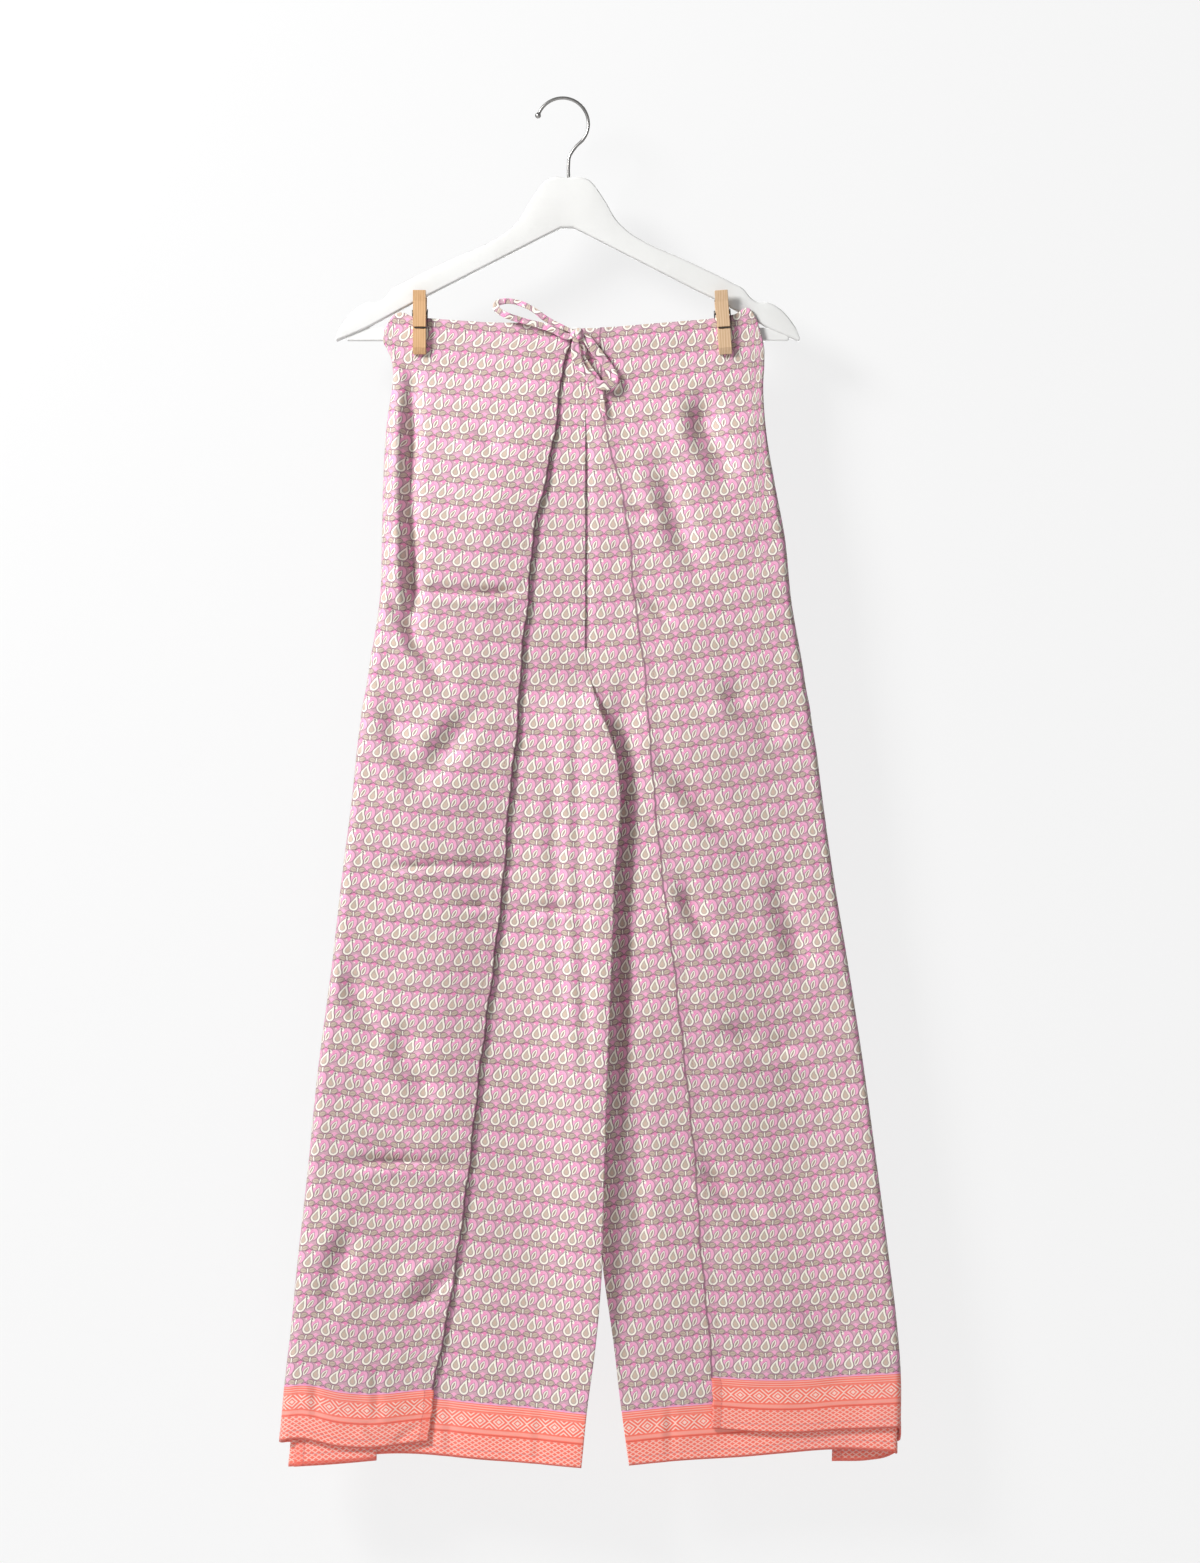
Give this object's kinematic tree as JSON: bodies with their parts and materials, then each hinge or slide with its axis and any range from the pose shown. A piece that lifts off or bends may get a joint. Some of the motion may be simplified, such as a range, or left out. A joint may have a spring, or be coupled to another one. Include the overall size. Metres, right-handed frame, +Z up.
{
  "type": "wrap trousers on a coat hanger",
  "caption": "Printed wrap trousers with tied front flaps and woven-look border hems, pegged by the waist to the bar of a wooden coat hanger.",
  "frame": {"origin": "the highest point inside the hanger's hook, where a rod or a wall hook carries it", "axes": "+Z up, the garment's front faces -Y, +X to the viewer's right"},
  "size_m": [0.575, 0.0334, 1.2691],
  "materials": {
    "print_cloth": "soft plain-woven viscose, pink and mauve teardrop print with a coral border at the hems, faint sheen",
    "hanger_paint": "white lacquered wood, satin",
    "peg_wood": "plain unvarnished wood",
    "hook_steel": "plated steel wire, a little dull",
    "spring_steel": "dark spring wire"
  },
  "bodies": {
    "root": {"front_panel_left": "print_cloth", "front_panel_right": "print_cloth", "front_tail_left": "print_cloth", "front_tail_right": "print_cloth", "back_panel_left": "print_cloth", "back_panel_right": "print_cloth", "wrap_flap_left": "print_cloth", "wrap_flap_right": "print_cloth", "tie_knot": "print_cloth", "tie_loop_left": "print_cloth", "tie_loop_right": "print_cloth", "tie_tail": "print_cloth", "hanger_body": "hanger_paint", "hanger_bar": "hanger_paint", "hanger_hook": "hook_steel", "peg_left_front": "peg_wood", "peg_left_back": "peg_wood", "peg_left_spring": "spring_steel", "peg_right_front": "peg_wood", "peg_right_back": "peg_wood", "peg_right_spring": "spring_steel"}
  },
  "joints": []
}
